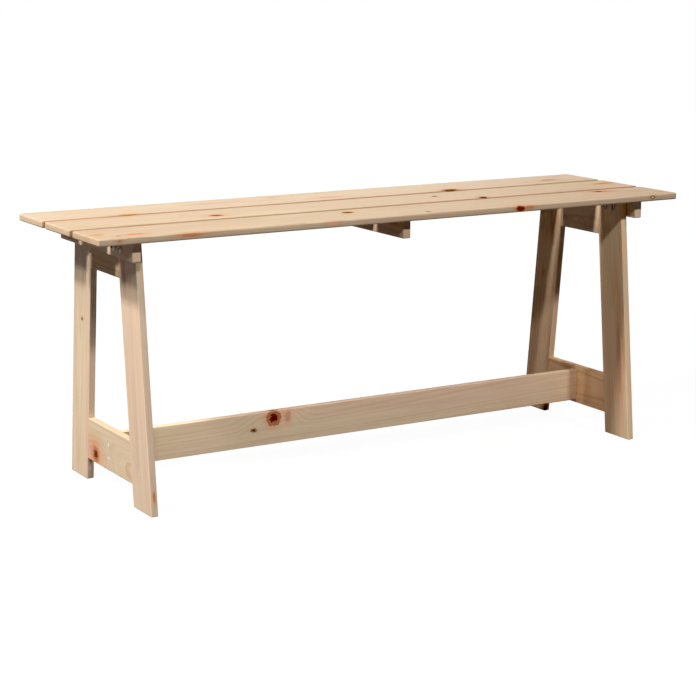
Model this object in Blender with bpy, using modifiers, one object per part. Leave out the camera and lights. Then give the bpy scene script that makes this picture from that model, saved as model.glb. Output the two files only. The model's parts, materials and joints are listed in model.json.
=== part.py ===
"""Trestle bench in pine.

Three seat planks lie across three battens. Each outer batten is bolted to a trestle of two splayed
legs, which an upper and a lower crossbar hold apart, and a long stretcher joins the two trestles.
X runs along the bench, Y across it with the front at -Y, and Z up. The origin is on the floor,
under the middle of the seat. All lengths are in metres.
"""

import math

import bmesh
import bpy
from mathutils import Matrix, Vector

# Seat
seat_height = 0.450
seat_length = 1.130
plank_width = 0.102
plank_gap = 0.011
plank_thickness = 0.012
plank_rounding = 0.003

# Battens under the seat
end_overhang = 0.0645
batten_thickness = 0.015
batten_height = 0.0315
batten_inset = 0.020

# Trestles
leg_width = 0.0677
leg_thickness = 0.0125
foot_spread = 0.325
leg_top_spread = 0.237
crossbar_thickness = 0.0125
upper_crossbar_height = 0.070
lower_crossbar_height = 0.0715
lower_crossbar_lift = 0.0375

# Stretcher between the trestles
stretcher_height = 0.0585
stretcher_thickness = 0.0125

# Eased edges of the battens and trestle boards
board_rounding = 0.0016

# Bolts through batten and leg, with their drive-in nuts
bolt_diameter = 0.006
bolt_pitch = 0.025
bolt_tip = 0.0015
head_flange_diameter = 0.0136
head_flange_thickness = 0.0012
head_button_diameter = 0.0105
head_flat_diameter = 0.0062
head_height = 0.0033
socket_width = 0.004
socket_depth = 0.0021
nut_flange_diameter = 0.0142
nut_flange_thickness = 0.0012
nut_barrel_diameter = 0.0078
nut_barrel_length = 0.009

# Countersunk wood screws, from the battens up into the planks and through a crossbar into the stretcher
screw_diameter = 0.0045
screw_head_diameter = 0.009
screw_head_depth = 0.0025
screw_point = 0.004
screw_sink = 0.0002
recess_span = 0.0048
recess_width = 0.0009
recess_depth = 0.0015
plank_screw_pitch = 0.042
plank_bite_share = 0.7
stretcher_screw_pitch = 0.022
stretcher_screw_drop = 0.0015
stretcher_bite = 0.045

# Dowels in the butt joints of legs and crossbars
dowel_diameter = 0.006
dowel_length = 0.030
dowel_chamfer = 0.0008

# Clearance between neighbouring pieces, and how far a cutter runs past what it cuts
fit_gap = 0.0003
overrun = 0.002

# Counts of facets and of steps in a rounding
round_facets = 14
small_facets = 10
plank_rounding_steps = 3
board_rounding_steps = 2
head_dome_steps = 3

# Colours, linear
plank_colour = (0.80, 0.60, 0.40)
trestle_colour = (0.78, 0.59, 0.39)
dowel_colour = (0.66, 0.46, 0.28)
zinc_colour = (0.62, 0.62, 0.60)

# Where the named pieces lie, as sides of the bench and rows of planks
sides = {"left": -1, "right": 1}
faces = {"front": -1, "back": 1}
plank_rows = {"front": -1, "middle": 0, "back": 1}

# Heights and places that follow from the sizes above
plank_pitch = plank_width + plank_gap
seat_width = len(plank_rows) * plank_pitch - plank_gap
seat_underside = seat_height - plank_thickness
board_top = seat_underside - fit_gap
splay = math.atan((foot_spread - leg_top_spread) / 2 / board_top)
leg_section = leg_width / math.cos(splay)
batten_outer_x = seat_length / 2 - end_overhang
batten_inner_x = batten_outer_x - batten_thickness
batten_centre_x = (batten_outer_x + batten_inner_x) / 2
leg_outer_x = batten_inner_x - fit_gap
leg_inner_x = leg_outer_x - leg_thickness
crossbar_inner_x = leg_outer_x - crossbar_thickness
batten_length = seat_width - 2 * batten_inset
batten_centre_z = board_top - batten_height / 2
lower_crossbar_centre_z = lower_crossbar_lift + lower_crossbar_height / 2
upper_crossbar_centre_z = board_top - upper_crossbar_height / 2
bolt_length = batten_thickness + leg_thickness + 2 * fit_gap


def leg_centre_y(z):
    """Distance of a leg's centreline from the middle of the bench, at height z."""
    return foot_spread / 2 - leg_section / 2 - z * math.tan(splay)


def new_collection(name):
    made = bpy.data.collections.new(name)
    bpy.context.scene.collection.children.link(made)
    return made


def finish(name, colour, roughness, metallic):
    made = bpy.data.materials.new(name)
    made.use_nodes = True
    shader = made.node_tree.nodes["Principled BSDF"]
    shader.inputs["Base Color"].default_value = (*colour, 1)
    shader.inputs["Roughness"].default_value = roughness
    shader.inputs["Metallic"].default_value = metallic
    made.diffuse_color = (*colour, 1)
    return made


def wood(name, colour):
    return finish(name, colour, roughness=0.62, metallic=0)


def zinc(name):
    return finish(name, zinc_colour, roughness=0.38, metallic=1)


def add_piece(name, mesh, material, location=(0, 0, 0), rotation=(0, 0, 0)):
    """Puts a mesh into the bench's collection as one named piece."""
    piece = bpy.data.objects.new(name, mesh)
    piece.location = location
    piece.rotation_euler = rotation
    bench.objects.link(piece)
    if not mesh.materials:
        mesh.materials.append(material)
    piece.material_slots[0].link = "OBJECT"
    piece.material_slots[0].material = material
    return piece


def add_cutter(name, mesh, matrix=None):
    """A shape that only cuts others. It isn't rendered and shows as wire."""
    cutter = bpy.data.objects.new(name, mesh)
    if matrix:
        cutter.matrix_world = matrix
    cutter.hide_render = True
    cutter.display_type = "WIRE"
    cutters.objects.link(cutter)
    return cutter


def combine(piece, other, operation="DIFFERENCE"):
    boolean = piece.modifiers.new(other.name, "BOOLEAN")
    boolean.object = other
    boolean.operation = operation
    boolean.solver = "EXACT"


def box_bmesh(size):
    """A box of the given size, centred on the origin."""
    bm = bmesh.new()
    bmesh.ops.create_cube(bm, size=1)
    bmesh.ops.scale(bm, vec=size, verts=bm.verts)
    return bm


def saw(bm, point, normal):
    """Cuts away what lies on the normal's side of a plane, and closes the cut."""
    geometry = bm.verts[:] + bm.edges[:] + bm.faces[:]
    cut = bmesh.ops.bisect_plane(bm, geom=geometry, plane_co=point, plane_no=normal, clear_outer=True)
    edges = [item for item in cut["geom_cut"] if isinstance(item, bmesh.types.BMEdge)]
    bmesh.ops.edgenet_fill(bm, edges=edges)


def mesh_from(bm, name):
    bmesh.ops.recalc_face_normals(bm, faces=bm.faces)
    mesh = bpy.data.meshes.new(name)
    bm.to_mesh(mesh)
    bm.free()
    return mesh


def board(name, size, location, colour, rotation=(0, 0, 0), saw_cuts=(), rounding=board_rounding,
          steps=board_rounding_steps):
    """A sawn board with eased edges. Each saw cut is a plane in the board's own axes."""
    bm = box_bmesh(size)
    for point, normal in saw_cuts:
        saw(bm, point, normal)
    piece = add_piece(name, mesh_from(bm, name), wood(name, colour), location, rotation)
    bevel = piece.modifiers.new("eased_edges", "BEVEL")
    bevel.width = rounding
    bevel.segments = steps
    bevel.limit_method = "ANGLE"
    bevel.angle_limit = math.radians(30)
    return piece


def turned(name, profile, facets):
    """A turned body. The profile runs down its outer side, from the axis at the top to the axis below."""
    mesh = bpy.data.meshes.new(name)
    points = [(radius, 0, height) for radius, height in profile]
    mesh.from_pydata(points, [(i, i + 1) for i in range(len(points) - 1)], [])
    body = bpy.data.objects.new(name, mesh)
    screw = body.modifiers.new("turn", "SCREW")
    screw.axis = "Z"
    screw.steps = facets
    screw.render_steps = facets
    screw.use_merge_vertices = True
    screw.merge_threshold = 0.00001
    return body


def settled_mesh(body, name):
    """The finished mesh of a body with modifiers. The body itself is removed."""
    if not body.users_collection:
        cutters.objects.link(body)
    bpy.context.view_layer.update()
    evaluated = body.evaluated_get(bpy.context.evaluated_depsgraph_get())
    mesh = bpy.data.meshes.new_from_object(evaluated)
    mesh.name = name
    bpy.data.objects.remove(body)
    mesh.set_sharp_from_angle(angle=math.radians(35))
    return mesh


def cylinder(name, radius, low, high, facets):
    """A mesh cylinder on the Z axis, from height low to height high."""
    return settled_mesh(turned(name, [(0, high), (radius, high), (radius, low), (0, low)], facets), name)


def block(name, size, location):
    """A box that cuts, at its place."""
    return add_cutter(name, mesh_from(box_bmesh(size), name), Matrix.Translation(location))


def along(direction, point):
    """Turns a body's +Z to a direction and moves its origin to a point."""
    return Matrix.Translation(point) @ Vector((0, 0, 1)).rotation_difference(Vector(direction)).to_matrix().to_4x4()


def place(name, mesh, material, matrix):
    return add_piece(name, mesh, material, matrix.to_translation(), matrix.to_euler())


# Fastener shapes, each made once and shared by its copies


def make_bolt_mesh():
    """A flanged button-head bolt. The head is above z = 0 and the shank below."""
    flat_radius = head_flat_diameter / 2
    dome_width = head_button_diameter / 2 - flat_radius
    dome_height = head_height - head_flange_thickness
    angles = [math.radians(90) * step / head_dome_steps for step in range(head_dome_steps + 1)]
    dome = [
        (flat_radius + dome_width * math.sin(angle), head_flange_thickness + dome_height * math.cos(angle))
        for angle in angles
    ]
    radius = bolt_diameter / 2
    body = turned("bolt", [
        (0, head_height),
        *dome,
        (head_flange_diameter / 2, head_flange_thickness),
        (head_flange_diameter / 2, 0),
        (radius, 0),
        (radius, bolt_tip - bolt_length),
        (radius - bolt_tip / 2, -bolt_length),
        (0, -bolt_length),
    ], round_facets)
    bm = bmesh.new()
    corner_radius = socket_width / 2 / math.cos(math.radians(30))
    bmesh.ops.create_cone(bm, cap_ends=True, segments=6, radius1=corner_radius, radius2=corner_radius,
                          depth=socket_depth + overrun)
    bmesh.ops.translate(bm, vec=(0, 0, head_height + (overrun - socket_depth) / 2), verts=bm.verts)
    socket = add_cutter("bolt_socket", mesh_from(bm, "bolt_socket"))
    combine(body, socket)
    return settled_mesh(body, "flanged_bolt")


def make_bolt_hole():
    """The hole of a bolt in its own axes, wider where the nut's barrel lies."""
    bolt_radius = bolt_diameter / 2 + fit_gap
    barrel_radius = nut_barrel_diameter / 2 + fit_gap
    return settled_mesh(turned("bolt_hole", [
        (0, overrun),
        (bolt_radius, overrun),
        (bolt_radius, nut_barrel_length - bolt_length),
        (barrel_radius, nut_barrel_length - bolt_length),
        (barrel_radius, -bolt_length - overrun),
        (0, -bolt_length - overrun),
    ], round_facets), "bolt_hole")


def make_nut_mesh():
    """A drive-in nut. Its flange is above z = 0 and its barrel below."""
    flange_radius = nut_flange_diameter / 2
    barrel_radius = nut_barrel_diameter / 2
    nut = turned("nut", [
        (0, nut_flange_thickness),
        (flange_radius, nut_flange_thickness),
        (flange_radius, 0),
        (barrel_radius, 0),
        (barrel_radius, -nut_barrel_length),
        (0, -nut_barrel_length),
    ], round_facets)
    bore = add_cutter("nut_bore", cylinder("nut_bore", bolt_diameter / 2 + fit_gap, -nut_barrel_length - overrun,
                                           nut_flange_thickness + overrun, round_facets))
    combine(nut, bore)
    return settled_mesh(nut, "drive_in_nut")


def make_screw_mesh(name, length):
    """A countersunk screw with a cross recess. Its head is flush with z = 0 and it points down."""
    body = turned(name, [
        (0, 0),
        (screw_head_diameter / 2, 0),
        (screw_diameter / 2, -screw_head_depth),
        (screw_diameter / 2, screw_point - length),
        (0, -length),
    ], small_facets)
    for number, size in enumerate(((recess_span, recess_width), (recess_width, recess_span))):
        slot = block(f"{name}_slot_{number}", (*size, 2 * recess_depth), (0, 0, 0))
        combine(body, slot)
    return settled_mesh(body, name)


def make_screw_hole(name, length):
    """The countersunk hole of a screw, a clearance wider than the screw all over."""
    depth = screw_head_depth + fit_gap
    return settled_mesh(turned(name, [
        (0, overrun),
        (screw_head_diameter / 2 + fit_gap, overrun),
        (screw_head_diameter / 2 + fit_gap, screw_sink - fit_gap),
        (screw_diameter / 2 + fit_gap, -depth),
        (screw_diameter / 2 + fit_gap, -length - fit_gap),
        (0, -length - fit_gap),
    ], small_facets), name)


def make_dowel_mesh():
    radius = dowel_diameter / 2
    half = dowel_length / 2
    return settled_mesh(turned("dowel", [
        (0, half),
        (radius - dowel_chamfer, half),
        (radius, half - dowel_chamfer),
        (radius, dowel_chamfer - half),
        (radius - dowel_chamfer, -half),
        (0, -half),
    ], small_facets), "dowel")


# Boards


def build_planks():
    made = {}
    for name, row in plank_rows.items():
        made[name] = board(f"seat_plank_{name}", (seat_length, plank_width, plank_thickness),
                           (0, row * plank_pitch, seat_height - plank_thickness / 2), plank_colour,
                           rounding=plank_rounding, steps=plank_rounding_steps)
    return made


def build_battens():
    made = {}
    for name, x in (("left", -batten_centre_x), ("middle", 0), ("right", batten_centre_x)):
        made[name] = board(f"batten_{name}", (batten_thickness, batten_length, batten_height),
                           (x, 0, batten_centre_z), trestle_colour)
    return made


def build_leg(side, face):
    """A splayed leg, sawn level at the floor and under the seat."""
    middle_z = board_top / 2
    length = board_top / math.cos(splay) + leg_width
    tilt = faces[face] * splay
    up = Vector((0, math.sin(tilt), math.cos(tilt)))
    cuts = ((up * middle_z, up), (-up * middle_z, -up))
    location = (sides[side] * (leg_outer_x + leg_inner_x) / 2, faces[face] * leg_centre_y(middle_z), middle_z)
    return board(f"leg_{side}_{face}", (leg_thickness, leg_width, length), location, trestle_colour,
                 rotation=(tilt, 0, 0), saw_cuts=cuts)


def build_crossbar(side, level, height, centre_z):
    """A board between the two legs of a trestle, with its ends sawn to the legs' splay."""
    reach = leg_centre_y(centre_z - height / 2)
    cuts = []
    for sign in faces.values():
        outward = Vector((0, sign * math.cos(splay), math.sin(splay)))
        joint = Vector((0, sign * (leg_centre_y(centre_z) - leg_section / 2), 0))
        cuts.append((joint - outward * fit_gap, outward))
    location = (sides[side] * (leg_outer_x + crossbar_inner_x) / 2, 0, centre_z)
    return board(f"{level}_crossbar_{side}", (crossbar_thickness, 2 * reach, height), location,
                 trestle_colour, saw_cuts=cuts)


def build_stretcher():
    length = 2 * (crossbar_inner_x - fit_gap)
    return board("stretcher", (length, stretcher_thickness, stretcher_height), (0, 0, lower_crossbar_centre_z),
                 trestle_colour)


# Fasteners in their holes


def fit_bolts(batten, leg, side, face, bolt_mesh, nut_mesh, hole_mesh):
    """Two bolts through the batten and one leg, with their nuts driven into the leg's inner face."""
    sign = sides[side]
    for number in (0, 1):
        label = f"{side}_{face}_{number + 1}"
        y = faces[face] * (leg_centre_y(batten_centre_z) + (number - 1 / 2) * bolt_pitch)
        head_seat = Vector((sign * (batten_outer_x + fit_gap), y, batten_centre_z))
        nut_seat = Vector((sign * (leg_inner_x - fit_gap), y, batten_centre_z))
        hole = add_cutter(f"bolt_hole_{label}", hole_mesh, along((sign, 0, 0), head_seat))
        combine(batten, hole)
        combine(leg, hole)
        place(f"leg_bolt_{label}", bolt_mesh, zinc(f"leg_bolt_{label}"), along((sign, 0, 0), head_seat))
        place(f"leg_nut_{label}", nut_mesh, zinc(f"leg_nut_{label}"), along((-sign, 0, 0), nut_seat))


def fit_screw(name, point, direction, screw_mesh, hole_mesh, boards):
    """A screw whose head is sunk at a point on a face, seen against a direction. It cuts its boards."""
    outward = Vector(direction)
    seat = along(outward, Vector(point) - outward * screw_sink)
    hole = add_cutter(f"hole_{name}", hole_mesh, seat)
    for piece in boards:
        combine(piece, hole)
    place(name, screw_mesh, zinc(name), seat)


def fit_plank_screws(all_planks, all_battens, screw_mesh, hole_mesh):
    """Two screws at each crossing over a trestle, and one at each crossing of the middle batten."""
    batten_underside = board_top - batten_height
    between_bolts = leg_centre_y(batten_centre_z)
    for plank, row in plank_rows.items():
        for side, sign in sides.items():
            for number in (0, 1):
                y = row * between_bolts + (number - (1 - row) / 2) * plank_screw_pitch
                fit_screw(f"plank_screw_{side}_{plank}_{number + 1}", (sign * batten_centre_x, y, batten_underside),
                          (0, 0, -1), screw_mesh, hole_mesh, (all_battens[side], all_planks[plank]))
        fit_screw(f"plank_screw_middle_{plank}", (0, row * plank_pitch, batten_underside), (0, 0, -1),
                  screw_mesh, hole_mesh, (all_battens["middle"], all_planks[plank]))


def fit_dowel(side, level, face, centre_z, dowel_mesh, hole_mesh, boards):
    """A dowel square across the butt joint of a leg and a crossbar."""
    name = f"dowel_{side}_{level}_{face}"
    outward = Vector((0, faces[face] * math.cos(splay), math.sin(splay)))
    joint = Vector((sides[side] * (leg_outer_x + max(leg_inner_x, crossbar_inner_x)) / 2,
                    faces[face] * (leg_centre_y(centre_z) - leg_section / 2), centre_z))
    seat = along(outward, joint - outward * fit_gap / 2)
    hole = add_cutter(f"hole_{name}", hole_mesh, seat)
    for piece in boards:
        combine(piece, hole)
    place(name, dowel_mesh, wood(name, dowel_colour), seat)


def build_bench():
    bolt_mesh = make_bolt_mesh()
    nut_mesh = make_nut_mesh()
    bolt_hole = make_bolt_hole()
    plank_screw_length = batten_height + fit_gap + plank_thickness * plank_bite_share
    plank_screw = make_screw_mesh("plank_screw", plank_screw_length)
    plank_screw_hole = make_screw_hole("plank_screw_hole", plank_screw_length)
    stretcher_screw_length = crossbar_thickness + fit_gap + stretcher_bite
    stretcher_screw = make_screw_mesh("stretcher_screw", stretcher_screw_length)
    stretcher_screw_hole = make_screw_hole("stretcher_screw_hole", stretcher_screw_length)
    dowel_mesh = make_dowel_mesh()
    dowel_reach = dowel_length / 2 + fit_gap
    dowel_hole = cylinder("dowel_hole", dowel_diameter / 2 + fit_gap, -dowel_reach, dowel_reach, small_facets)

    all_planks = build_planks()
    all_battens = build_battens()
    stretcher = build_stretcher()
    for side, sign in sides.items():
        upper = build_crossbar(side, "upper", upper_crossbar_height, upper_crossbar_centre_z)
        lower = build_crossbar(side, "lower", lower_crossbar_height, lower_crossbar_centre_z)
        for face in faces:
            leg = build_leg(side, face)
            fit_bolts(all_battens[side], leg, side, face, bolt_mesh, nut_mesh, bolt_hole)
            for level, crossbar, centre_z in (("upper", upper, upper_crossbar_centre_z),
                                              ("lower", lower, lower_crossbar_centre_z)):
                fit_dowel(side, level, face, centre_z, dowel_mesh, dowel_hole, (leg, crossbar))
        for level, offset in (("upper", stretcher_screw_pitch / 2), ("lower", -stretcher_screw_pitch / 2)):
            height = lower_crossbar_centre_z - stretcher_screw_drop + offset
            fit_screw(f"stretcher_screw_{side}_{level}", (sign * leg_outer_x, 0, height), (sign, 0, 0),
                      stretcher_screw, stretcher_screw_hole, (lower, stretcher))
    fit_plank_screws(all_planks, all_battens, plank_screw, plank_screw_hole)


for old in list(bpy.data.objects):
    bpy.data.objects.remove(old)
bench = new_collection("trestle_bench")
cutters = new_collection("cutters")
build_bench()
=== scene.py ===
"""Looks of the pine trestle bench: grain, knots and sawn ends on its boards, its fasteners, and a studio.

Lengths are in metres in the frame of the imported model: X along the bench, Y from front to back, Z up.
"""

import json
import math
import random

import bmesh
import bpy
from mathutils import Matrix, Vector


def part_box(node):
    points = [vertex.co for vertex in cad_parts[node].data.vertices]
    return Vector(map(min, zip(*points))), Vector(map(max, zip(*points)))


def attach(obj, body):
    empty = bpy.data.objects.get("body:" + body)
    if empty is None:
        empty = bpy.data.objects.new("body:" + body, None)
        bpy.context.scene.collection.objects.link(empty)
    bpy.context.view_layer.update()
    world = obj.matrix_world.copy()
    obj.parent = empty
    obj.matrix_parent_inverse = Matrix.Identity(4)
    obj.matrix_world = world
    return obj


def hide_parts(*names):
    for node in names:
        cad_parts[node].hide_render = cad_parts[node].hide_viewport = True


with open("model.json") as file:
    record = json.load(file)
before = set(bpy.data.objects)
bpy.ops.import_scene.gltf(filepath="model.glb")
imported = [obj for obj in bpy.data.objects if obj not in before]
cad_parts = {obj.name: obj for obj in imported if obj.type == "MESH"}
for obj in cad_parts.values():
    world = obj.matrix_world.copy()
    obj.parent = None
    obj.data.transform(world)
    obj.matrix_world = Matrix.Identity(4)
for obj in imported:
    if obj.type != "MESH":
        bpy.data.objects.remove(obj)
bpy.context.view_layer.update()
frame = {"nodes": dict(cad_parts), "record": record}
slots = {part["node"]: part["material_slot"] for part in frame["record"]["subparts"]}

# Camera, at the photograph's viewpoint. Its angles are in radians, and its lens in millimetres.
camera_place = Vector((-1.6876, -2.7873, 0.8871))
camera_heading = 0.537
camera_dip = 0.210
camera_roll = 0.003
camera_lens = 98.0

# Studio lights: the point each is aimed at, its heading from the front and its height angle in degrees, its
# distance, its width and depth, and its power in watts
lights = {
    "left_high": ((-0.5, 0, 0.44), -80, 52, 4.5, 0.34, 0.34, 134),
    "left_side": ((-0.5, 0, 0.44), -90, 44, 4.5, 0.34, 0.34, 76),
    "left_near": ((-0.5, 0, 0.44), -90, 52, 2.5, 0.34, 0.36, 10),
    "left_low": ((-0.5, 0, 0.44), -90, 24, 4.5, 0.6, 0.64, 7),
    "front_left": ((-1.4, 0, 0.3), 0, 42, 3.0, 0.6, 0.16, 36),
    "front_right": ((0.78, 0, 0.3), 0, 42, 3.0, 0.2, 0.16, 32),
    "back_left": ((0, 0, 0.3), -120, 35, 3.0, 1.2, 0.6, 6),
    "back_right": ((0, 0, 0.3), 150, 15, 3.0, 1.2, 0.6, 7),
    "right": ((0, 0, 0.3), 120, 35, 3.0, 1.2, 0.6, 3),
    "right_low": ((0.5, 0, 0.3), 96, 14, 3.0, 1.2, 0.6, 11),
}

# The black level of the view, which imitates the photograph's contrast
film_black = 0.03

# Floor: its reach, the light it gives back and how mottled that is, the grey that takes the bench's shadow,
# its white near the bench and far off, and how far from the origin the one ends and the other begins
floor_reach = 40.0
floor_bounce = (0.170, 0.180, 0.222)
mottle_spread = 0.1
floor_shadow = 0.06
floor_near_white = 0.965
floor_white = 1.0
floor_near = 0.9
floor_far = 2.5

# Pine
early_wood = (0.83, 0.645, 0.465)
late_wood = (0.70, 0.455, 0.27)
pink_tint = (1.02, 0.955, 0.925)
yellow_tint = (1.0, 1.0, 0.93)
end_tint = (0.98, 0.955, 0.93)
# Arrises are lightened by this tint, partly as wear and partly as a painted highlight
worn_and_lit_tint = (1.05, 1.05, 1.04)
# Sides in the seat's gaps are darkened by this tint as painted shade
gap_painted_shade = (0.62, 0.52, 0.44)
ring_width = 0.0031
pith_depth = 0.075
log_taper = 0.012
grain_wander = 0.014
grain_shake = 0.0009
ring_depth = 0.00006
fibre_depth = 0.00005
saw_depth = 0.0001
# Width of the lightened band along the arrises, partly wear and partly painted highlight
worn_and_lit_width = 0.0035
wood_shine = 0.2
wood_roughness = 0.52
streak_roughness = 0.2
late_polish = 0.06

# A step is a pair: where an effect begins, and where it is full.
# Late wood: how a year's ring darkens and ends, which years are strong ones and how fast they change, and
# how much of the late colour shows
late_rise = (0.35, 0.93)
late_fall = (1.0, 0.94)
strong_year = (0.28, 0.74)
year_change = 0.31
late_share = 0.72

# Unevenness of the wood's colour
patch_step = (0.36, 0.64)
streak_spread = 0.26
fibre_spread = 0.14

# Knots, with distances as shares of a knot's radius: how uneven its outline is, how it bends the rings round
# it, where it is rough, the stain round it, its body with its own rings, its core, and a streak's colour
knot_wobble = 0.7
bend_shape = (0.35, 0.8, 0.8)
bend_step = (2.2, 0.1)
bend_share = 0.6
rough_step = (1.3, 0.8)
stain_far = 2.4
stain_near = 0.9
stain_share = 0.85
body_step = (1.10, 0.90)
body_share = 0.95
knot_ring_rate = 3.5
knot_ring_spread = 0.30
knot_ring_low = 0.78
core_blur = 0.08
core_fray = 0.9
streak_mark_step = (1.15, 0.55)
streak_mark_share = 0.85
streak_mark_fray = 0.5

# Ends, and gap sides in painted shade: how squarely a face looks that way. Arrises: the distance to them in
# band widths.
end_step = (0.55, 0.9)
gap_shade_step = (0.15, 0.75)
worn_and_lit_far = 1.4
worn_and_lit_near = 0.4

# Ranges of each board's random values: the shift of its noises, and the heart of its log
shift_range = (3, 90)
heart_side = 0.8
heart_depth = (0.8, 1.4)

# Noises: features a metre along three axes, the multiple of the shift, the detail and the distortion
noises = {
    "wobble": ((140, 220, 220), 1, 2, 0),
    "blotch": ((420, 420, 420), 1, 2, 0),
    "wander": ((0.9, 8, 8), 1, 1, 0.3),
    "shake": ((26, 160, 160), 1, 2, 0),
    "patch": ((1.7, 16, 16), 2, 2, 0),
    "streak": ((5, 110, 110), 3, 3, 0),
    "fibre": ((34, 1100, 1100), 5, 2, 0),
    "saw": ((900, 60, 420), 1, 2, 0),
    "metal_patch": ((420, 420, 420), 7, 3, 0),
    "metal_grain": ((2600, 2600, 2600), 3, 2, 0),
    "metal_scratch": ((300, 300, 5200), 11, 1, 0),
    "dowel_fleck": ((900, 160, 900), 5, 3, 0),
    "dowel_tone": ((90, 20, 90), 9, 2, 0),
    "floor_mottle": ((3, 3, 3), 1, 2, 0),
}
# What the shift is divided by along each axis
shift_parts = (1, 3, 7)

# Each board's tone over the pine's colours: partly its own, and partly painted light and painted shade that
# brighten or darken whole boards by where light falls on them
tone_and_painted_light_casts = {
    "seat_plank_front": (0.74, 0.74, 0.74),
    "seat_plank_middle": (0.80, 0.80, 0.81),
    "seat_plank_back": (0.86, 0.88, 0.91),
    "leg_left_front": (0.94, 0.95, 0.96),
    "leg_left_back": (0.98, 0.99, 1.0),
    "leg_right_front": (1.12, 1.03, 0.96),
    "leg_right_back": (1.00, 0.90, 0.84),
    "stretcher": (1.15, 1.14, 1.15),
    "lower_crossbar_left": (0.93, 0.93, 0.92),
    "lower_crossbar_right": (1.11, 0.93, 0.83),
    "upper_crossbar_left": (0.82, 0.77, 0.73),
    "batten_middle": (0.80, 0.79, 0.78),
}

# Knots: the colour of the core and of the body, and the stain round them
tones = {
    "red": ((0.20, 0.055, 0.026), (0.60, 0.24, 0.13), (1.02, 0.82, 0.70)),
    "dark": ((0.085, 0.035, 0.016), (0.34, 0.14, 0.06), (0.93, 0.72, 0.56)),
    "amber": ((0.17, 0.065, 0.008), (0.55, 0.31, 0.10), (1.01, 0.90, 0.74)),
    "brown": ((0.19, 0.095, 0.058), (0.45, 0.28, 0.17), (0.95, 0.86, 0.75)),
    "pink": ((0.45, 0.24, 0.15), (0.72, 0.42, 0.28), (1.03, 0.86, 0.78)),
    "eye": ((0.62, 0.47, 0.32), (0.30, 0.18, 0.09), (0.96, 0.88, 0.78)),
}

# Metals: bright and dull colour, roughness before what patches and grain add to it, sheen, and the radius of
# the hollow in its head that is darkened as painted shade
metals = {
    "bolt_zinc": ((0.98, 0.82, 0.64), (0.84, 0.69, 0.53), 0.22, 0.2, 0.0023),
    "nut_zinc": ((0.74, 0.64, 0.54), (0.58, 0.48, 0.39), 0.37, 0.2, 0),
    "screw_steel": ((1.0, 0.90, 0.78), (0.96, 0.82, 0.67), 0.32, 0.3, 0),
}
dull_step = (0.35, 0.7)
metal_spread = 0.3
patch_roughness = 0.25
grain_roughness = 0.12
metal_depth = 0.00001
hollow_painted_shade = (0.20, 0.18, 0.16)
hollow_far = 1.1
hollow_near = 0.8
hollow_foot = 0.0002

# Dowel wood
dowel_early = (0.70, 0.50, 0.31)
dowel_late = (0.58, 0.38, 0.21)
fleck_step = (0.5, 0.72)
dowel_spread = 0.3
dowel_roughness = 0.5
fleck_roughness = 0.2

# Meshes: how near points are that are one, how square two directions are that count as square, the angles
# above which an edge stays sharp, and the steps of a turned piece
weld = 0.00001
square_enough = 0.1
board_crease = math.radians(50)
metal_crease = math.radians(32)
full_turn = math.radians(360)
quarter = full_turn / 4
quarters = [quarter * turn for turn in range(4)]
turn_steps = 48


class Wire:
    """A node's output that takes part in sums, so that a shader reads like a formula."""

    def __init__(self, graph, socket):
        self.graph = graph
        self.socket = socket

    def __add__(self, other):
        return self.graph.maths("ADD", self, other)

    def __sub__(self, other):
        return self.graph.maths("SUBTRACT", self, other)

    def __rsub__(self, other):
        return self.graph.maths("SUBTRACT", other, self)

    def __mul__(self, other):
        return self.graph.maths("MULTIPLY", self, other)

    def __truediv__(self, other):
        return self.graph.maths("DIVIDE", self, other)


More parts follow.
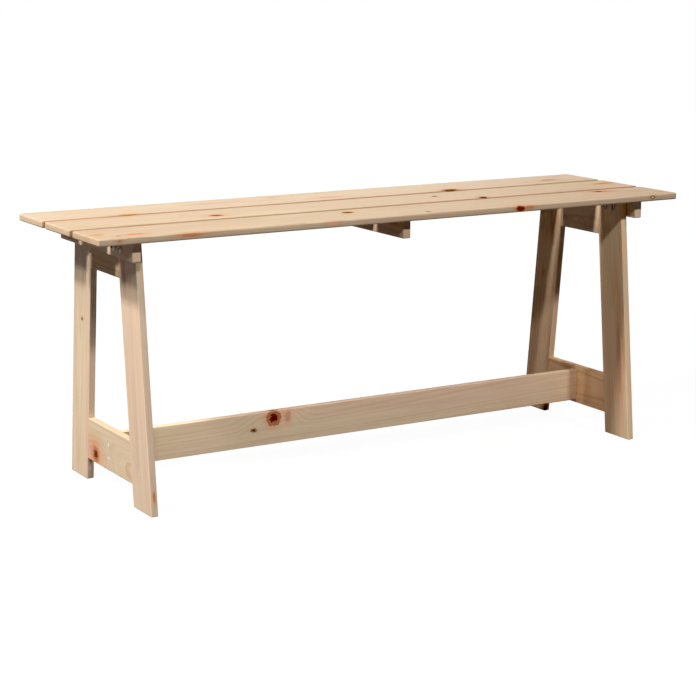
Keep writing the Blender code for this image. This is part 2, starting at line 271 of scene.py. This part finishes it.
class Graph:
    """A material's node tree, with short calls for the nodes that the finishes here use."""

    def __init__(self, name):
        self.material = bpy.data.materials.new(name)
        self.material.use_nodes = True
        self.tree = self.material.node_tree
        self.shader = self.tree.nodes["Principled BSDF"]

    def new(self, kind, values, output=0, **settings):
        made = self.tree.nodes.new(kind)
        for key, value in settings.items():
            setattr(made, key, value)
        for key, value in values.items():
            self.feed(made.inputs[key], value)
        return Wire(self, made.outputs[output])

    def feed(self, entry, value):
        if isinstance(value, Wire):
            self.tree.links.new(value.socket, entry)
        else:
            entry.default_value = value

    def maths(self, operation, *values):
        return self.new("ShaderNodeMath", dict(enumerate(values)), operation=operation)

    def vector(self, operation, *values, output="Vector"):
        return self.new("ShaderNodeVectorMath", dict(enumerate(values)), output=output, operation=operation)

    def dot(self, vector, direction):
        return self.vector("DOT_PRODUCT", vector, direction, output="Value")

    def length(self, vector):
        return self.vector("LENGTH", vector, output="Value")

    def place(self):
        return self.new("ShaderNodeTexCoord", {}, output="Object")

    def noise(self, vector, kind, shift=1.0):
        """One of the noises over a vector, moved by its multiple of the shift."""
        rates, multiple, detail, warp = noises[kind]
        moved = self.vector("MULTIPLY_ADD", vector, rates, [shift * multiple / part for part in shift_parts])
        values = {"Vector": moved, "Scale": 1, "Detail": detail, "Distortion": warp}
        return self.new("ShaderNodeTexNoise", values, output="Fac")

    def step(self, value, low, high):
        """0 below low, 1 above high, and smooth between. Low may be the larger one."""
        values = {"Value": value, "From Min": low, "From Max": high}
        return self.new("ShaderNodeMapRange", values, interpolation_type="SMOOTHSTEP")

    def mix(self, share, first, second, blend="MIX"):
        """A colour, from the first at a share of 0 to the second at 1.

        The node's colours are its inputs 6 and 7 and its output 2.
        """
        values = {0: share, 6: first, 7: second}
        return self.new("ShaderNodeMix", values, output=2, data_type="RGBA", blend_type=blend)

    def scaled(self, colour, factor):
        return self.new("ShaderNodeVectorMath", {0: colour, "Scale": factor}, operation="SCALE")

    def varied(self, colour, noise, spread):
        """The colour made darker and lighter by a noise, by half the spread each way."""
        return self.scaled(colour, noise * spread + (1 - spread / 2))

    def tinted(self, share, colour, tint):
        """The colour multiplied by a tint, as far as the share goes."""
        return self.mix(share, colour, rgba(tint), blend="MULTIPLY")

    def finish(self, colour, roughness, relief):
        """The material, with its colour, its roughness and its relief in metres."""
        bump = {"Height": relief, "Distance": 1.0, "Strength": 1.0}
        self.feed(self.shader.inputs["Base Color"], colour)
        self.feed(self.shader.inputs["Roughness"], roughness)
        self.feed(self.shader.inputs["Normal"], self.new("ShaderNodeBump", bump))
        return self.material


def rgba(colour):
    return (*colour, 1.0)


# Boards


def facing(direction):
    """The direction or its opposite, whichever has its largest part above zero."""
    return direction if max(direction, key=abs) > 0 else -direction


def broadest_direction(mesh, apart=None):
    """The direction that the most face area looks in, square to another one if that is given."""
    areas = {}
    for face in mesh.polygons:
        way = facing(face.normal)
        if apart and abs(way.dot(apart)) > square_enough:
            continue
        key = tuple(round(part, 1) for part in way)
        areas[key] = areas.get(key, Vector()) + way * face.area
    return max(areas.values(), key=lambda total: total.length).normalized()


class Board:
    """A board's directions along, across and through it, its middle and its half sizes."""

    def __init__(self, name):
        self.name = name
        self.mesh = frame["nodes"][name].data
        through = broadest_direction(self.mesh)
        across = broadest_direction(self.mesh, apart=through)
        self.directions = (facing(across.cross(through)), across, through)
        self.middle = []
        self.half = []
        for direction in self.directions:
            reach = [vertex.co.dot(direction) for vertex in self.mesh.vertices]
            self.middle.append((max(reach) + min(reach)) / 2)
            self.half.append((max(reach) - min(reach)) / 2)


class Mark:
    """A knot or a streak, placed in shares of the board's half sizes, along, across and through it.

    The core is the share of the knot's radius that is darkest. A streak has none.
    """

    def __init__(self, tone, along, across, through, length, width,
                 deep=0.006, core=0.6, stain=1.0, slant=0.0):
        self.tone = tone
        self.shares = (along, across, through)
        on_edge = abs(across) == 1
        self.reach = (length / 2, deep, width / 2) if on_edge else (length / 2, width / 2, deep)
        self.core = core
        self.stain = stain
        self.slant = slant

    def place(self, board):
        return tuple(share * half for share, half in zip(self.shares, board.half))


marks = {
    "seat_plank_front": [
        Mark("amber", -0.973, -0.16, 1, 0.026, 0.016, core=0),
        Mark("brown", -0.926, -0.61, 1, 0.008, 0.007),
        Mark("red", -0.872, -0.53, 1, 0.036, 0.015, core=0, stain=0.85),
        Mark("amber", -0.152, 0.37, 1, 0.024, 0.017, deep=0.03, core=0.85),
        Mark("red", 0.802, 0.59, 1, 0.062, 0.018, core=0, stain=0.8, slant=-0.27),
        Mark("dark", 0.797, 0.59, 1, 0.011, 0.014, core=0.8),
        Mark("brown", 0.067, -0.745, 1, 0.010, 0.008, core=0.8),
        Mark("brown", 0.97, -0.49, 1, 0.009, 0.008, core=0),
        Mark("brown", -0.938, -1, 0.2, 0.009, 0.006, core=0),
        Mark("red", -0.724, -1, 0.25, 0.042, 0.0055, core=0),
        Mark("pink", -0.274, -1, 0, 0.022, 0.008, core=0),
        Mark("red", 0.386, -1, 0.05, 0.023, 0.0115, core=0.75),
        Mark("red", 0.421, -1, 0.25, 0.020, 0.006, core=0),
        Mark("eye", 0.901, -1, 0.2, 0.012, 0.0075, core=0.5),
    ],
    "seat_plank_middle": [
        Mark("red", -0.517, -0.353, 1, 0.027, 0.017, deep=0.03, core=0.65, stain=1.2),
        Mark("pink", -0.604, 0.18, 1, 0.014, 0.008, core=0),
        Mark("dark", 0.273, 0.14, 1, 0.010, 0.010, core=0.8),
        Mark("dark", 0.393, -0.863, 1, 0.017, 0.014, core=0.9),
        Mark("amber", 0.927, 0.14, 1, 0.034, 0.016, core=0),
        Mark("red", 0.952, 0.22, 1, 0.032, 0.015, core=0, stain=0.8),
    ],
    "seat_plank_back": [
        Mark("amber", -0.733, -0.94, 1, 0.042, 0.010, core=0),
        Mark("pink", -0.189, 0.43, 1, 0.020, 0.014, core=0),
        Mark("pink", -0.021, -0.43, 1, 0.046, 0.016, core=0),
        Mark("dark", 0.402, -0.863, 1, 0.034, 0.016, core=0.75),
        Mark("brown", 0.839, -0.216, 1, 0.036, 0.014, core=0),
    ],
    "batten_left": [Mark("amber", 0.42, 0.2, 1, 0.012, 0.008)],
    "batten_middle": [Mark("red", 0.45, -0.2, 1, 0.016, 0.010)],
    "batten_right": [Mark("brown", 0.08, 0.3, 1, 0.012, 0.009, deep=0.03)],
    "leg_left_front": [
        Mark("red", -0.86, -1, 0.1, 0.019, 0.0045, core=0),
        Mark("brown", 0.28, 0.35, 1, 0.012, 0.009),
    ],
    "leg_left_back": [
        Mark("brown", 0.26, -0.08, -1, 0.006, 0.007),
        Mark("amber", -0.42, 0.3, 1, 0.014, 0.010),
    ],
    "leg_right_front": [
        Mark("pink", -0.28, -0.45, -1, 0.150, 0.012, core=0),
        Mark("red", 0.12, 0.2, 1, 0.024, 0.018),
    ],
    "leg_right_back": [
        Mark("pink", 0.23, 0.23, -1, 0.014, 0.008, core=0),
        Mark("amber", -0.55, -0.3, 1, 0.015, 0.010),
    ],
    "upper_crossbar_left": [Mark("brown", 0.35, -0.2, 1, 0.013, 0.010)],
    "upper_crossbar_right": [Mark("amber", -0.30, 0.3, 1, 0.013, 0.009)],
    "lower_crossbar_left": [
        Mark("pink", 0.66, -0.52, -1, 0.050, 0.040, deep=0.01, core=0),
        Mark("red", 0.60, -0.566, -1, 0.025, 0.027, deep=0.03, core=0.55),
    ],
    "lower_crossbar_right": [Mark("amber", -0.38, 0.35, 1, 0.015, 0.011)],
    "stretcher": [
        Mark("red", -0.381, 0.57, -1, 0.029, 0.028, deep=0.03, core=0.5, stain=0.9),
        Mark("brown", -0.464, -0.01, -1, 0.013, 0.007, core=0.6),
        Mark("pink", -0.322, 0.56, -1, 0.013, 0.022, core=0),
        Mark("amber", 0.52, -0.3, 1, 0.016, 0.012),
    ],
}

# The sides of each plank that face its neighbour across a gap, which are darkened as painted shade
shaded_gap_sides = {"seat_plank_front": [1], "seat_plank_middle": [1, -1], "seat_plank_back": [-1]}

# Rings: where the heart of the log was, across the board in half widths, and behind or before it in depths
heart = {
    "seat_plank_front": (0.5, -1.1),
    "seat_plank_middle": (-0.7, -0.9),
    "seat_plank_back": (0.2, 1.2),
    "stretcher": (1.5, 0.9),
}


class Pine(Graph):
    """Sawn and planed pine for one board: growth rings through the whole of it, fibre, knots, arrises
    lightened as wear and painted highlight.

    Its coordinates run along, across and through the board from the board's middle.
    """

    def __init__(self, board, seed):
        super().__init__(f"pine_{board.name}")
        self.board = board
        self.chance = random.Random(seed)
        self.shift = self.chance.uniform(*shift_range)
        place = self.place()
        self.parts = [self.dot(place, way) - middle for way, middle in zip(board.directions, board.middle)]
        self.here = self.new("ShaderNodeCombineXYZ", dict(enumerate(self.parts)))
        self.normal = self.new("ShaderNodeTexCoord", {}, output="Normal")
        self.streak = self.grain("streak")
        self.fibre = self.grain("fibre")

    def grain(self, kind):
        """One of the noises over the board's own coordinates."""
        return self.noise(self.here, kind, self.shift)

    def swing(self, kind):
        """The same, with its middle at zero."""
        return self.grain(kind) - 0.5

    def find_knots(self):
        """Each mark with the distance to it in shares of its size, and how far the marks bend the rings."""
        wobble = self.swing("wobble") * knot_wobble
        bend = 0.0
        knots = []
        for mark in marks.get(self.board.name, []):
            apart = self.vector("SUBTRACT", self.here, mark.place(self.board))
            if mark.slant:
                turn = {"Vector": apart, "Axis": (0, 0, 1), "Angle": -math.atan(mark.slant)}
                apart = self.new("ShaderNodeVectorRotate", turn)
            shares = self.vector("MULTIPLY", apart, [1 / reach for reach in mark.reach])
            knots.append((mark, self.length(shares) + wobble))
            drawn = self.length(self.vector("MULTIPLY", shares, bend_shape))
            bend = self.step(drawn, *bend_step) * (min(mark.reach[:2]) * bend_share) + bend
        return knots, bend

    def late_wood(self, bend):
        """How much of a year's late, dark wood is here. A heart that no table gives is drawn by chance."""
        along, across, through = self.parts
        guess = (self.chance.uniform(-heart_side, heart_side),
                 self.chance.choice((-1, 1)) * self.chance.uniform(*heart_depth))
        side, depth = heart.get(self.board.name, guess)
        sideways = across - side * self.board.half[1]
        inward = through - depth * pith_depth
        radius = self.maths("SQRT", sideways * sideways + inward * inward)
        lean = along * self.chance.choice((-log_taper, log_taper))
        wander = self.swing("wander") * grain_wander
        shake = self.swing("shake") * grain_shake
        rings = (radius + lean + wander + shake + bend) / ring_width
        phase = self.maths("FRACT", rings)
        year = {"W": self.maths("FLOOR", rings) * year_change + self.shift, "Scale": 1, "Detail": 2}
        strength = self.new("ShaderNodeTexNoise", year, output="Fac", noise_dimensions="1D")
        dark = self.step(phase, *late_rise) * self.step(phase, *late_fall)
        return dark * self.step(strength, *strong_year)

    def plain_wood(self, late):
        """The colour of the wood between its knots, scaled by the board's tone, which is partly painted
        light and painted shade.
        """
        tone_and_painted_light_cast = tone_and_painted_light_casts.get(self.board.name, (1, 1, 1))
        # The board's tone over the pine is partly its own and partly painted light and painted shade
        pale = [part * share for part, share in zip(early_wood, tone_and_painted_light_cast)]
        deep = [part * share for part, share in zip(late_wood, tone_and_painted_light_cast)]
        colour = self.mix(late * late_share, rgba(pale), rgba(deep))
        tint = self.mix(self.step(self.grain("patch"), *patch_step), rgba(yellow_tint), rgba(pink_tint))
        colour = self.mix(1, colour, tint, blend="MULTIPLY")
        colour = self.varied(colour, self.streak, streak_spread)
        return self.varied(colour, self.fibre, fibre_spread)

    def with_knots(self, colour, knots):
        """The colour with stains and knots on it, and how much of a knot is here."""
        blotch = self.swing("blotch")
        knotty = 0.0
        for mark, away in knots:
            core, body, stain = tones[mark.tone]
            knotty = self.maths("MAXIMUM", self.step(away, *rough_step), knotty)
            stained = self.step(away, stain_far * mark.stain, stain_near) * stain_share
            colour = self.tinted(stained, colour, stain)
            if mark.core:
                rings = self.maths("FRACT", away * knot_ring_rate) * knot_ring_spread + knot_ring_low
                colour = self.mix(self.step(away, *body_step) * body_share, colour, self.scaled(body, rings))
                frayed = away + blotch * core_fray
                in_core = self.step(frayed, mark.core + core_blur, mark.core - core_blur)
                colour = self.mix(in_core, colour, rgba(core))
            else:
                frayed = away + blotch * streak_mark_fray
                in_streak = self.step(frayed, *streak_mark_step) * streak_mark_share
                colour = self.mix(in_streak, colour, rgba(body))
        return colour, knotty

    def with_edges(self, colour, end):
        """The colour with sawn ends, and painted shade on the seat's gap sides, or else arrises lightened as
        wear and painted highlight.
        """
        board = self.board
        colour = self.tinted(end, colour, end_tint)
        if board.name in shaded_gap_sides:
            sideways = self.dot(self.normal, board.directions[1])
            for sign in shaded_gap_sides[board.name]:
                # Painted shade on the sides in the seat's gaps
                colour = self.tinted(self.step(sideways * sign, *gap_shade_step), colour, gap_painted_shade)
            return colour
        to_side = board.half[1] - self.maths("ABSOLUTE", self.parts[1])
        to_face = board.half[2] - self.maths("ABSOLUTE", self.parts[2])
        to_arris = self.maths("MAXIMUM", to_side, to_face) + self.streak * worn_and_lit_width
        # The arrises are lightened, partly as wear and partly as a painted highlight
        worn_and_lit = self.step(to_arris, worn_and_lit_width * worn_and_lit_far, worn_and_lit_width * worn_and_lit_near)
        return self.tinted(worn_and_lit * (1 - end), colour, worn_and_lit_tint)

    def made(self):
        """The finished material."""
        knots, bend = self.find_knots()
        late = self.late_wood(bend)
        colour, knotty = self.with_knots(self.plain_wood(late), knots)
        endways = self.dot(self.normal, self.board.directions[0])
        end = self.step(self.maths("ABSOLUTE", endways), *end_step)
        relief = late * ring_depth + self.fibre * fibre_depth + self.grain("saw") * end * saw_depth
        roughness = self.streak * streak_roughness - late * late_polish + wood_roughness
        self.feed(self.shader.inputs["Specular IOR Level"], wood_shine)
        return self.finish(self.with_edges(colour, end), self.maths("MAXIMUM", roughness, knotty), relief)


def copy_of(mesh, name):
    """The mesh's shape as a new mesh, joined up and free of its stored normals."""
    made = bpy.data.meshes.new(name)
    places = [vertex.co.copy() for vertex in mesh.vertices]
    made.from_pydata(places, [], [tuple(face.vertices) for face in mesh.polygons])
    bm = bmesh.new()
    bm.from_mesh(made)
    bmesh.ops.remove_doubles(bm, verts=bm.verts, dist=weld)
    bm.to_mesh(made)
    bm.free()
    return made


def smooth(mesh, crease):
    for face in mesh.polygons:
        face.use_smooth = True
    mesh.set_sharp_from_angle(angle=crease)


def add_piece(name, mesh, material, matrix=None):
    """A new piece of one material, which rides on the bench's one body."""
    mesh.materials.clear()
    mesh.materials.append(material)
    piece = bpy.data.objects.new(name, mesh)
    bpy.context.scene.collection.objects.link(piece)
    if matrix:
        piece.matrix_world = matrix
    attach(piece, "root")
    return piece


def dress_board(name, seed):
    """The board with its eased arrises shaded round, in its own cut of pine."""
    board = Board(name)
    mesh = copy_of(board.mesh, f"{name}_dressed")
    smooth(mesh, board_crease)
    piece = add_piece(f"{name}_dressed", mesh, Pine(board, seed).made())
    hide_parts(name)
    level = piece.modifiers.new("level_faces", "WEIGHTED_NORMAL")
    level.mode = "FACE_AREA"
    level.keep_sharp = True


# Fasteners


def hexagon(apothem):
    """A radius that makes a hexagon, as a function of the angle round the axis."""
    sixth = full_turn / 6
    return lambda angle: apothem / math.cos(angle % sixth - sixth / 2)


def from_axis(angle):
    """How far an angle is from the nearest of the four quarters."""
    return abs((angle + quarter / 2) % quarter - quarter / 2)


def cross(span, width):
    """A radius that makes a cross of four arms."""

    def radius(angle):
        off = from_axis(angle)
        return min(span / 2 / math.cos(off), width / 2 / max(math.sin(off), least_sine))

    return radius


def notched(radius, inner, spread):
    """A disc's radius with four notches in its rim, each reaching an angle to both sides."""
    return lambda angle: inner if from_axis(angle) < spread else radius


def turned(name, rings, extra_angles=(), bored=False):
    """A closed body about +Z from its rings, from the axis at the top down its outer side to the axis below.

    A bored body has no ring on the axis, and its last ring joins the first.
    """
    even = [full_turn * step / turn_steps for step in range(turn_steps)]
    angles = sorted(even + [angle % full_turn for angle in extra_angles])
    bm = bmesh.new()
    loops = []
    for radius, height in rings:
        if radius == 0:
            loops.append([bm.verts.new((0, 0, height))])
            continue
        outline = radius if callable(radius) else lambda angle, fixed=radius: fixed
        points = [(outline(angle) * math.cos(angle), outline(angle) * math.sin(angle)) for angle in angles]
        loops.append([bm.verts.new((*point, height)) for point in points])
    pairs = list(zip(loops, loops[1:]))
    if bored:
        pairs.append((loops[-1], loops[0]))
    for upper, lower in pairs:
        for first in range(len(angles)):
            second = (first + 1) % len(angles)
            corners = []
            for loop, index in ((upper, first), (lower, first), (lower, second), (upper, second)):
                vertex = loop[index] if len(loop) > 1 else loop[0]
                if vertex not in corners:
                    corners.append(vertex)
            bm.faces.new(corners)
    mesh = bpy.data.meshes.new(name)
    bm.to_mesh(mesh)
    bm.free()
    smooth(mesh, metal_crease)
    return mesh


def arc(low_radius, high_radius, low, high, steps):
    """Rings of a quarter ellipse, from its high inner end down to its low outer end."""
    rings = []
    for step in range(steps + 1):
        turn = quarter * step / steps
        radius = high_radius + (low_radius - high_radius) * math.sin(turn)
        rings.append((radius, low + (high - low) * math.cos(turn)))
    return rings


# Bolt: shares of the flange radius, of the head's height or of its eased edges, and its thread in metres
head_share = 0.485
rim_share = 0.36
rim_edge = 0.08
rim_turn = 0.3
foot_turn = 0.5
button_share = 0.772
flat_share = 0.456
dome_steps = 7
socket_share = 0.294
socket_depth_share = 0.636
socket_lip = 0.035
socket_dish = 2
lip_drop = 0.2
hexagon_corner = 1.155
shank_share = 0.44
thread_pitch = 0.001
thread_depth = 0.00045
thread_start = 0.55
tip_taper = 0.0008
# Where a thread's ridge begins and ends, as shares of its pitch
ridge_top = 0.4
ridge_foot = 0.6
# Nut: shares of its flange radius, and points just beside a notch's side as shares of its angle
nut_barrel = 0.549
nut_bore = 0.465
nut_flange = 0.169
nut_notch_depth = 0.20
nut_notch_spread = math.radians(9)
notch_sides = (0.999, 1.001)
# Screw: shares of its head radius, the recess's floor as shares of its mouth and depth, and the thread and
# the tip in metres
screw_shank = 0.5
screw_cone = 0.55
screw_rim = 0.06
cross_span = 1.05
cross_width = 0.25
cross_depth = 0.36
floor_span = 0.45
floor_width = 0.7
floor_point = 1.3
least_sine = 0.001
screw_thread_pitch = 0.0018
screw_thread_depth = 0.00055
screw_tip = 0.004


def seat(direction, point):
    """Turns a piece's +Z to a direction and moves its origin to a point."""
    turn = Vector((0, 0, 1)).rotation_difference(Vector(direction))
    return Matrix.Translation(point) @ turn.to_matrix().to_4x4()


def thread(radius, depth, pitch, high, low):
    """Rings of ridges down a shank."""
    rings = []
    height = high
    while height - pitch > low:
        rings += [(radius - depth, height)]
        rings += [(radius, height - pitch * ridge_top), (radius, height - pitch * ridge_foot)]
        height -= pitch
    return rings + [(radius - depth, height)]


def bolt_mesh(radius, length):
    """A flanged button-head bolt with a hexagon socket, length long, with its head above z = 0."""
    head = radius * head_share
    rim = head * rim_share
    edge = radius * rim_edge
    button = radius * button_share
    flat = radius * flat_share
    lip = radius * socket_lip
    socket = radius * socket_share
    floor = head * (1 - socket_depth_share)
    shank = radius * shank_share
    tip = head - length
    rings = [(0, floor - lip * socket_dish), (hexagon(socket), floor), (hexagon(socket), head - lip)]
    rings += [(socket * hexagon_corner + lip, head)]
    rings += arc(button, flat, rim + lip, head, dome_steps)
    rings += [(button + lip, rim + lip * lip_drop), (radius - edge, rim)]
    rings += [(radius - edge * rim_turn, rim - edge * rim_turn), (radius, rim - edge)]
    rings += [(radius, edge * foot_turn), (radius - edge * foot_turn, 0), (shank, 0)]
    rings += thread(shank, thread_depth, thread_pitch, tip * thread_start, tip + tip_taper)
    rings += [(shank - thread_depth - tip_taper / 2, tip), (0, tip)]
    return turned("flanged_bolt", rings)


def nut_mesh(radius, height):
    """A drive-in nut with a notched flange. The flange starts at z = 0 and the barrel hangs below it."""
    thick = radius * nut_flange
    bore = radius * nut_bore
    barrel = radius * nut_barrel
    edge = radius * rim_edge / 2
    inner = radius * (1 - nut_notch_depth)
    full = notched(radius, inner, nut_notch_spread)
    eased = notched(radius - edge, inner - edge / 2, nut_notch_spread)
    rings = [(bore + edge, thick), (eased, thick), (full, thick - edge), (full, edge), (eased, 0)]
    rings += [(barrel, 0), (barrel, edge - (height - thick)), (barrel - edge / 2, thick - height)]
    rings += [(bore, thick - height), (bore, thick - edge)]
    beside = [side * nut_notch_spread * near for side in (-1, 1) for near in notch_sides]
    return turned("drive_in_nut", rings, [turn + angle for turn in quarters for angle in beside], bored=True)


def screw_mesh(radius, length):
    """A countersunk screw with a cross recess. Its head is flush with z = 0 and it points down."""
    shank = radius * screw_shank
    rim = radius * screw_rim
    span = radius * cross_span
    width = radius * cross_width
    depth = radius * cross_depth
    neck = -radius * screw_cone
    corner = math.atan(width / span)
    rings = [(0, -depth * floor_point), (cross(span * floor_span, width * floor_width), -depth)]
    rings += [(cross(span, width), -rim / 2), (lambda angle: cross(span, width)(angle) + rim, 0)]
    rings += [(radius - rim, 0), (radius, -rim), (shank, neck)]
    rings += thread(shank, screw_thread_depth, screw_thread_pitch, neck - shank, screw_tip - length)
    rings += [(0, -length)]
    return turned("cross_screw", rings, [turn + side * corner for turn in quarters for side in (-1, 1)])


def metal(name, bright, dull, roughness, sheen, hollow):
    """A plated metal: fine grain, dull patches and faint scratches, and painted shade in a head's hollow.
    Its sheen is its share of bare metal.
    """
    graph = Graph(name)
    place = graph.place()
    patch = graph.noise(place, "metal_patch")
    grain = graph.noise(place, "metal_grain")
    scratch = graph.noise(place, "metal_scratch")
    colour = graph.mix(graph.step(patch, *dull_step), rgba(bright), rgba(dull))
    colour = graph.varied(colour, grain, metal_spread)
    if hollow:
        away = graph.length(graph.vector("MULTIPLY", place, (1, 1, 0)))
        inside = graph.step(away, hollow * hollow_far, hollow * hollow_near)
        in_head = graph.step(graph.dot(place, (0, 0, 1)), 0, hollow_foot)
        # Painted shade inside the head's hollow
        colour = graph.tinted(inside * in_head, colour, hollow_painted_shade)
    graph.feed(graph.shader.inputs["Metallic"], sheen)
    uneven = patch * patch_roughness + grain * grain_roughness + roughness
    return graph.finish(colour, uneven, grain * metal_depth + scratch * metal_depth)


def dowel_wood():
    """Turned beech: short flecks along the dowel on a warm ground."""
    graph = Graph("dowel_wood")
    place = graph.place()
    fleck = graph.noise(place, "dowel_fleck")
    colour = graph.mix(graph.step(fleck, *fleck_step), rgba(dowel_early), rgba(dowel_late))
    colour = graph.varied(colour, graph.noise(place, "dowel_tone"), dowel_spread)
    return graph.finish(colour, fleck * fleck_roughness + dowel_roughness, fleck * fibre_depth)


def dress_fastener(name, direction, make, material, head=0.0):
    """A finer fastener in the place of its node. Its head stands above its seat by a share of its radius."""
    low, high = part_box(name)
    way = Vector(direction)
    sizes = high - low
    length = abs(sizes.dot(way))
    radius = max(sizes - Vector(abs(part) for part in way) * length) / 2
    end = (low + high) / 2 + way * (length / 2 - radius * head)
    piece = add_piece(f"{name}_dressed", make(radius, length), material, seat(way, end))
    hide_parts(name)


for number, name in enumerate(sorted(slots), start=1):
    if slots[name] in ("seat_pine", "frame_pine"):
        dress_board(name, number)

finishes = {name: metal(name, *values) for name, values in metals.items()}
beech = dowel_wood()
for name in sorted(slots):
    outward = -1 if "_left" in name else 1
    if name.startswith("leg_bolt"):
        dress_fastener(name, (outward, 0, 0), bolt_mesh, finishes["bolt_zinc"], head=head_share)
    elif name.startswith("leg_nut"):
        dress_fastener(name, (-outward, 0, 0), nut_mesh, finishes["nut_zinc"], head=nut_flange)
    elif name.startswith("stretcher_screw"):
        dress_fastener(name, (outward, 0, 0), screw_mesh, finishes["screw_steel"])
    elif name.startswith("plank_screw"):
        dress_fastener(name, (0, 0, -1), screw_mesh, finishes["screw_steel"])
    elif name.startswith("dowel"):
        for place_slot in frame["nodes"][name].material_slots:
            place_slot.material = beech


# Studio


def aim(heading, height):
    """The direction from the bench to a heading round from its front and a height angle, in degrees."""
    turn = math.radians(heading)
    rise = math.radians(height)
    return Vector((math.sin(turn) * math.cos(rise), -math.cos(turn) * math.cos(rise), math.sin(rise)))


def add_light(name, target, heading, height, distance, width, depth, power):
    data = bpy.data.lights.new(name, "AREA")
    data.shape = "RECTANGLE"
    data.size = width
    data.size_y = depth
    data.energy = power
    light = bpy.data.objects.new(name, data)
    way = aim(heading, height)
    place = Vector(target) + way * distance
    light.matrix_world = Matrix.Translation(place) @ way.to_track_quat("Z", "Y").to_matrix().to_4x4()
    bpy.context.scene.collection.objects.link(light)


def add_floor():
    """A white floor that takes a faint soft shadow, and gives back little light."""
    mesh = bpy.data.meshes.new("studio_floor")
    reach = floor_reach
    corners = [(-reach, -reach, 0), (reach, -reach, 0), (reach, reach, 0), (-reach, reach, 0)]
    mesh.from_pydata(corners, [], [(0, 1, 2, 3)])
    floor = bpy.data.objects.new("studio_floor", mesh)
    bpy.context.scene.collection.objects.link(floor)
    graph = Graph("studio_floor")
    place = graph.place()
    glow = graph.step(graph.length(place), floor_near, floor_far) * (floor_white - floor_near_white)
    white = graph.new("ShaderNodeEmission", {"Color": rgba((1, 1, 1)), "Strength": glow + floor_near_white})
    shaded = graph.new("ShaderNodeBsdfDiffuse", {"Color": rgba((floor_shadow,) * 3)})
    seen = graph.new("ShaderNodeAddShader", {0: white, 1: shaded})
    bounce = graph.varied(floor_bounce, graph.noise(place, "floor_mottle"), mottle_spread)
    lit = graph.new("ShaderNodeBsdfDiffuse", {"Color": bounce})
    camera_ray = graph.new("ShaderNodeLightPath", {}, output="Is Camera Ray")
    both = graph.new("ShaderNodeMixShader", {0: camera_ray, 1: lit, 2: seen})
    graph.tree.links.new(both.socket, graph.tree.nodes["Material Output"].inputs["Surface"])
    graph.tree.nodes.remove(graph.shader)
    mesh.materials.append(graph.material)


def add_sky():
    """White behind everything for the camera. It gives the bench no light."""
    world = bpy.data.worlds.new("studio")
    world.use_nodes = True
    tree = world.node_tree
    glow = tree.nodes["Background"]
    glow.inputs["Color"].default_value = rgba((1, 1, 1))
    path = tree.nodes.new("ShaderNodeLightPath")
    tree.links.new(path.outputs["Is Camera Ray"], glow.inputs["Strength"])
    bpy.context.scene.world = world


def add_camera():
    """The photograph's camera, turned by its heading, its dip and its roll."""
    flat = math.cos(camera_dip)
    ahead = (math.sin(camera_heading) * flat, math.cos(camera_heading) * flat, -math.sin(camera_dip))
    forward = Vector(ahead)
    level = Vector((math.cos(camera_heading), -math.sin(camera_heading), 0))
    upright = level.cross(forward)
    right = level * math.cos(camera_roll) + upright * math.sin(camera_roll)
    up = upright * math.cos(camera_roll) - level * math.sin(camera_roll)
    camera = bpy.data.objects.new("camera", bpy.data.cameras.new("camera"))
    turn = Matrix((right, up, -forward)).transposed().to_4x4()
    camera.matrix_world = Matrix.Translation(camera_place) @ turn
    camera.data.lens = camera_lens
    bpy.context.scene.collection.objects.link(camera)
    bpy.context.scene.camera = camera


for name, settings in lights.items():
    add_light(name, *settings)
add_floor()
add_sky()
add_camera()
view = bpy.context.scene.view_settings
view.view_transform = "Standard"
view.use_curve_mapping = True
view.curve_mapping.black_level = (film_black,) * 3
view.curve_mapping.update()

bpy.context.view_layer.update()
